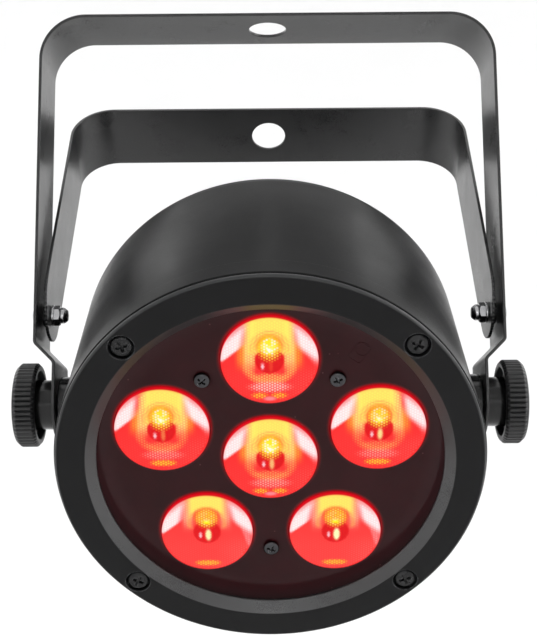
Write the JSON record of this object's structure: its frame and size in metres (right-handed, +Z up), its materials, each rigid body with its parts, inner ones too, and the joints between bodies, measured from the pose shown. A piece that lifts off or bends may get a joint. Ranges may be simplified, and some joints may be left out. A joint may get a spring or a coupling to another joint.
{
  "type": "par can light",
  "caption": "Compact LED par can: a drum-shaped can with a ring of lenses, tilting in a hanging yoke with a swing-out stand yoke and clamp knobs.",
  "frame": {"origin": "centre of the hanging hole, on the top face of the hanging yoke crossbar", "axes": "+Z up along the hanging yoke arms, -Y towards the audience (the way the lamp faces), +X to the right seen from the front"},
  "size_m": [0.196, 0.1652, 0.2427],
  "materials": {
    "yoke_paint": "satin black powder coat, finely textured",
    "can_paint": "satin black paint",
    "bezel_black": "matt black, finely textured casting",
    "panel_black": "gloss black moulding",
    "lens_clear": "clear moulded acrylic, lit red",
    "led_white": "white solder mask",
    "heat_sink_metal": "bare extruded",
    "circuit_board": "green solder mask",
    "black_plastic": "moulded, satin",
    "gloss_black": "polished black",
    "black_screw": "black oxide, slightly oily",
    "bright_screw": "bright zinc plate",
    "dark_nickel": "dark nickel plate",
    "pivot_washer": "black fibre washer"
  },
  "bodies": {
    "hanging_yoke": {"main_yoke": "yoke_paint", "pivot_bolt_left": "dark_nickel", "pivot_bolt_right": "dark_nickel", "pivot_washer_left": "pivot_washer", "pivot_washer_right": "pivot_washer", "pivot_nut_left": "dark_nickel", "pivot_nut_right": "dark_nickel"},
    "can": {"front_bezel": "bezel_black", "collar_ring": "can_paint", "can_housing": "can_paint", "rear_panel": "can_paint", "lens_panel": "panel_black", "lens_carrier": "panel_black", "led_board": "led_white", "heat_sink": "heat_sink_metal", "lens_centre": "lens_clear", "lens_1": "lens_clear", "lens_2": "lens_clear", "lens_3": "lens_clear", "lens_4": "lens_clear", "lens_5": "lens_clear", "driver_board": "circuit_board", "driver_transformer": "black_plastic", "control_board": "circuit_board", "display_window": "gloss_black", "power_inlet": "black_plastic", "power_outlet": "black_plastic", "dmx_input": "black_plastic", "dmx_output": "black_plastic", "fuse_holder": "black_plastic", "safety_eye": "yoke_paint", "bezel_screw_1": "black_screw", "bezel_screw_2": "black_screw", "bezel_screw_3": "black_screw", "bezel_screw_4": "black_screw", "panel_screw_1": "dark_nickel", "panel_screw_2": "dark_nickel", "panel_screw_3": "dark_nickel", "rear_screw_1": "black_screw", "rear_screw_2": "black_screw", "rear_screw_3": "black_screw", "rear_screw_4": "black_screw", "friction_washer_left": "gloss_black", "friction_washer_right": "gloss_black", "tilt_insert_left": "bright_screw", "tilt_insert_right": "bright_screw"},
    "stand": {"stand_yoke": "yoke_paint"},
    "collar_left": {"knob_collar_left": "gloss_black"},
    "knob_left": {"tilt_knob_left": "black_plastic", "tilt_stud_left": "bright_screw"},
    "collar_right": {"knob_collar_right": "gloss_black"},
    "knob_right": {"tilt_knob_right": "black_plastic", "tilt_stud_right": "bright_screw"},
    "button_1": {"menu_button_1": "black_plastic"},
    "button_2": {"menu_button_2": "black_plastic"},
    "button_3": {"menu_button_3": "black_plastic"},
    "button_4": {"menu_button_4": "black_plastic"},
    "fuse_cap": {"fuse_cap": "black_plastic"}
  },
  "joints": [
    {"name": "can_tilt", "type": "hinge", "parent": "hanging_yoke", "child": "can", "pos_m": [0, 0, -0.154], "axis": [1, 0, 0], "range_deg": [-126, 53]},
    {"name": "stand_swing", "type": "hinge", "parent": "hanging_yoke", "child": "stand", "pos_m": [0, 0, -0.1188], "axis": [1, 0, 0], "range_deg": [-46, 114]},
    {"name": "knob_left_travel", "type": "slide", "parent": "can", "child": "collar_left", "axis": [-1, 0, 0], "range_m": [0, 0.002]},
    {"name": "knob_left_turn", "type": "hinge", "parent": "collar_left", "child": "knob_left", "pos_m": [-0.093, 0, -0.154], "axis": [-1, 0, 0], "range_deg": [0, 720]},
    {"name": "knob_right_travel", "type": "slide", "parent": "can", "child": "collar_right", "axis": [1, 0, 0], "range_m": [0, 0.002]},
    {"name": "knob_right_turn", "type": "hinge", "parent": "collar_right", "child": "knob_right", "pos_m": [0.093, 0, -0.154], "axis": [1, 0, 0], "range_deg": [0, 720]},
    {"name": "button_1_press", "type": "slide", "parent": "can", "child": "button_1", "axis": [0, -0.8049, -0.5934], "range_m": [0, 0.0008], "stiffness_N_per_m": 600},
    {"name": "button_2_press", "type": "slide", "parent": "can", "child": "button_2", "axis": [0, -0.8049, -0.5934], "range_m": [0, 0.0008], "stiffness_N_per_m": 600},
    {"name": "button_3_press", "type": "slide", "parent": "can", "child": "button_3", "axis": [0, -0.8049, -0.5934], "range_m": [0, 0.0008], "stiffness_N_per_m": 600},
    {"name": "button_4_press", "type": "slide", "parent": "can", "child": "button_4", "axis": [0, -0.8049, -0.5934], "range_m": [0, 0.0008], "stiffness_N_per_m": 600},
    {"name": "fuse_cap_turn", "type": "hinge", "parent": "can", "child": "fuse_cap", "pos_m": [0, 0.04786, -0.12741], "axis": [0, 0.8049, 0.5934], "range_deg": [0, 90]}
  ],
  "couplings": [
    {"joint": "knob_left_turn", "follows": "knob_left_travel", "rad_per_m": 6283.2},
    {"joint": "knob_right_turn", "follows": "knob_right_travel", "rad_per_m": 6283.2}
  ]
}
